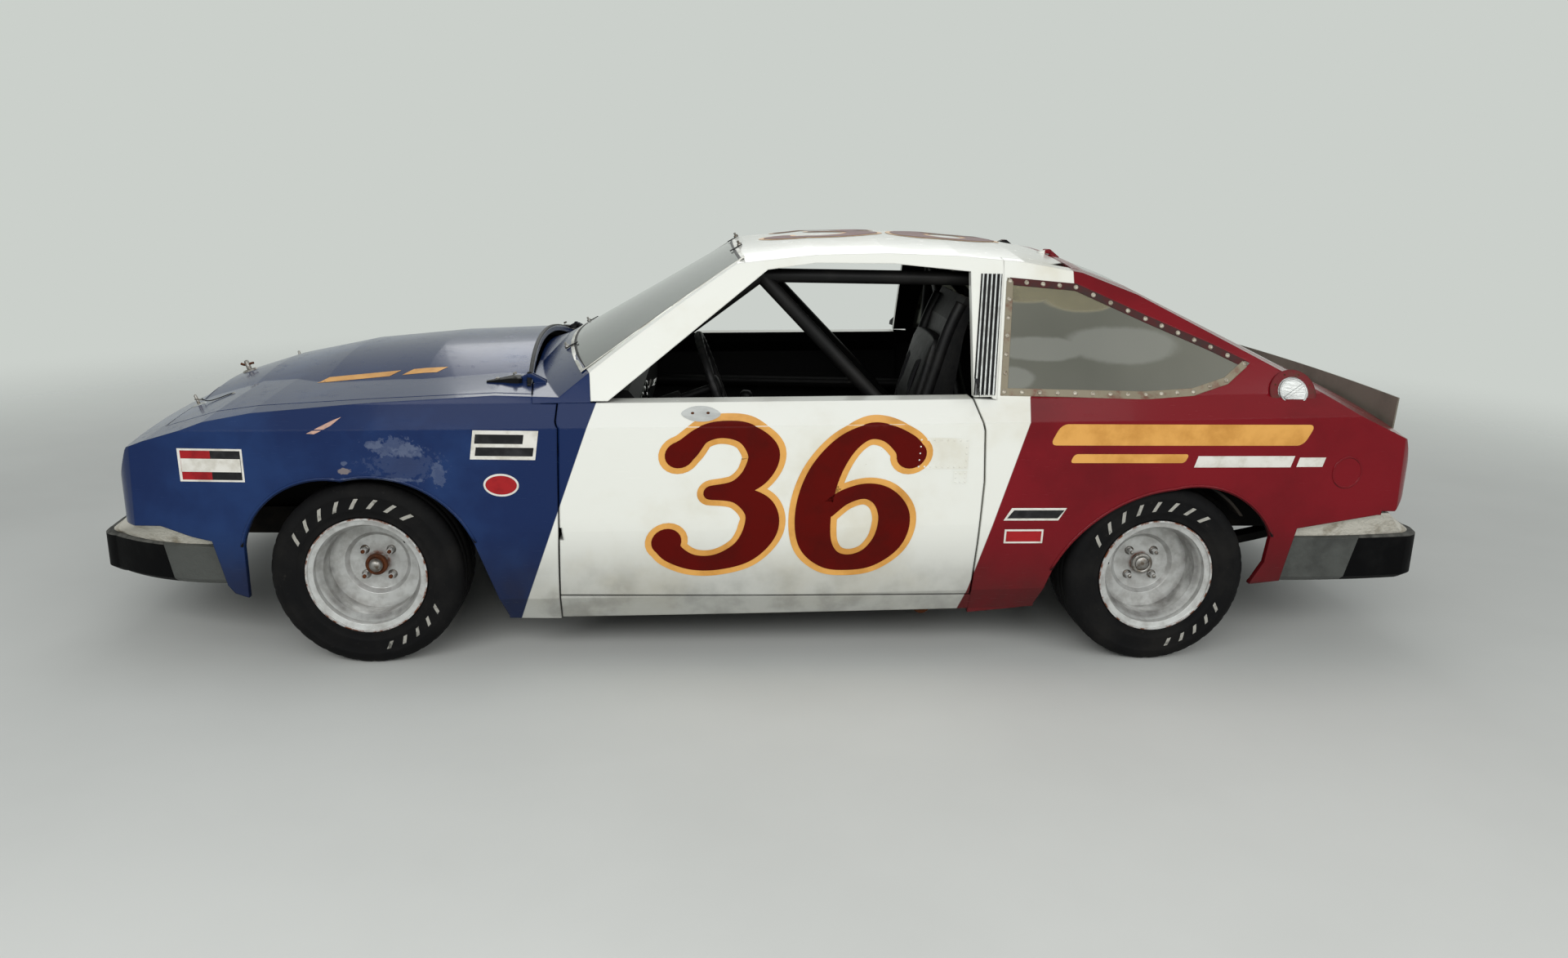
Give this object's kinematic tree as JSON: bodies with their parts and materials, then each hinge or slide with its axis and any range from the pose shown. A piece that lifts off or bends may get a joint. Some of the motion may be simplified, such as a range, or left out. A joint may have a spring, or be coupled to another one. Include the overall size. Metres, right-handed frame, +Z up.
{
  "type": "stock racing liftback hatchback car",
  "caption": "Two-door liftback stock race car with opening doors, hood and hatch, steered front wheels, roll cage, single seat and rear spoiler",
  "frame": {"origin": "floor level, under the middle of the car", "axes": "+X forward, +Y to the car's left, +Z up"},
  "size_m": [4.2798, 1.828, 1.2967],
  "materials": {
    "blue_paint": "gloss navy, worn",
    "white_paint": "aged white gloss",
    "red_paint": "maroon gloss",
    "clear_glass": "clear, dusty",
    "hazy_plastic": "hazy yellowed sheet",
    "lamp_red": "moulded red",
    "black_plastic": "grained black",
    "bare_aluminium": "dull sheet",
    "chrome_trim": "bright ribs",
    "bumper_rubber": "worn black",
    "filler_paint": "dented dull white",
    "black_vinyl": "black vinyl",
    "tyre_rubber": "scuffed sidewall",
    "wheel_alloy": "dull silver",
    "black_steel": "black enamel"
  },
  "bodies": {
    "chassis": {"fender_left": "blue_paint", "fender_right": "blue_paint", "nose_panel": "blue_paint", "grille": "black_plastic", "lamp_blanks": "bare_aluminium", "cowl": "blue_paint", "roof": "white_paint", "windscreen": "clear_glass", "quarter_left": "red_paint", "quarter_right": "red_paint", "quarter_glass_left": "hazy_plastic", "quarter_glass_right": "hazy_plastic", "hinge_posts": "black_steel", "sills": "white_paint", "tail_panel": "red_paint", "tail_lamps": "lamp_red", "spoiler": "bare_aluminium", "fuel_filler": "bare_aluminium", "pillar_trims": "chrome_trim", "front_bumper": "bumper_rubber", "rear_bumper": "bumper_rubber", "bumper_caps": "bare_aluminium", "bumper_fillers": "filler_paint", "floor_pan": "black_steel", "firewall": "black_steel", "wheelhouses": "black_steel", "frame_rails": "black_steel", "control_arms": "black_steel", "rear_axle": "black_steel", "leaf_springs": "black_steel", "propeller_shaft": "black_steel", "engine": "black_steel", "fuel_cell": "bare_aluminium", "exhaust": "black_steel", "roll_cage": "black_steel", "seat": "black_vinyl", "dashboard": "black_plastic", "steering_column": "black_steel"},
    "door_left": {"door_left": "white_paint"},
    "door_right": {"door_right": "white_paint"},
    "hood": {"hood": "blue_paint"},
    "hatch": {"hatch": "red_paint", "hatch_glass": "clear_glass"},
    "knuckle_left": {"knuckle_left": "black_steel"},
    "knuckle_right": {"knuckle_right": "black_steel"},
    "steering_wheel": {"steering_wheel": "black_plastic"},
    "wheel_front_left": {"tyre_front_left": "tyre_rubber", "wheel_front_left": "wheel_alloy"},
    "wheel_front_right": {"tyre_front_right": "tyre_rubber", "wheel_front_right": "wheel_alloy"},
    "wheel_rear_left": {"tyre_rear_left": "tyre_rubber", "wheel_rear_left": "wheel_alloy"},
    "wheel_rear_right": {"tyre_rear_right": "tyre_rubber", "wheel_rear_right": "wheel_alloy"}
  },
  "joints": [
    {"name": "door_left_hinge", "type": "hinge", "parent": "chassis", "child": "door_left", "pos_m": [0.628, 0.88, 0.5], "axis": [0, 0, -1], "range_deg": [0, 62]},
    {"name": "door_right_hinge", "type": "hinge", "parent": "chassis", "child": "door_right", "pos_m": [0.628, -0.88, 0.5], "axis": [0, 0, 1], "range_deg": [0, 62]},
    {"name": "hood_hinge", "type": "hinge", "parent": "chassis", "child": "hood", "pos_m": [0.775, 0, 0.866], "axis": [0, -1, 0], "range_deg": [0, 50]},
    {"name": "hatch_hinge", "type": "hinge", "parent": "chassis", "child": "hatch", "pos_m": [-0.9275, 0, 1.255], "axis": [0, 1, 0], "range_deg": [0, 55]},
    {"name": "steer_left", "type": "hinge", "parent": "chassis", "child": "knuckle_left", "pos_m": [1.249, 0.682, 0.288], "axis": [0, 0, 1], "range_deg": [-27, 27]},
    {"name": "steer_right", "type": "hinge", "parent": "chassis", "child": "knuckle_right", "pos_m": [1.249, -0.682, 0.288], "axis": [0, 0, 1], "range_deg": [-27, 27]},
    {"name": "steering_wheel_turn", "type": "hinge", "parent": "chassis", "child": "steering_wheel", "pos_m": [0.195, 0.365, 0.79], "axis": [-0.9404, 0, 0.3401], "range_deg": [-432, 432]},
    {"name": "spin_front_left", "type": "hinge", "parent": "knuckle_left", "child": "wheel_front_left", "pos_m": [1.249, 0.763, 0.288], "axis": [0, 1, 0], "continuous": true},
    {"name": "spin_front_right", "type": "hinge", "parent": "knuckle_right", "child": "wheel_front_right", "pos_m": [1.249, -0.763, 0.288], "axis": [0, 1, 0], "continuous": true},
    {"name": "spin_rear_left", "type": "hinge", "parent": "chassis", "child": "wheel_rear_left", "pos_m": [-1.1894, 0.763, 0.288], "axis": [0, 1, 0], "continuous": true},
    {"name": "spin_rear_right", "type": "hinge", "parent": "chassis", "child": "wheel_rear_right", "pos_m": [-1.1894, -0.763, 0.288], "axis": [0, 1, 0], "continuous": true}
  ],
  "couplings": [
    {"joint": "steer_right", "follows": "steer_left", "ratio": 1},
    {"joint": "steering_wheel_turn", "follows": "steer_left", "ratio": -16}
  ]
}
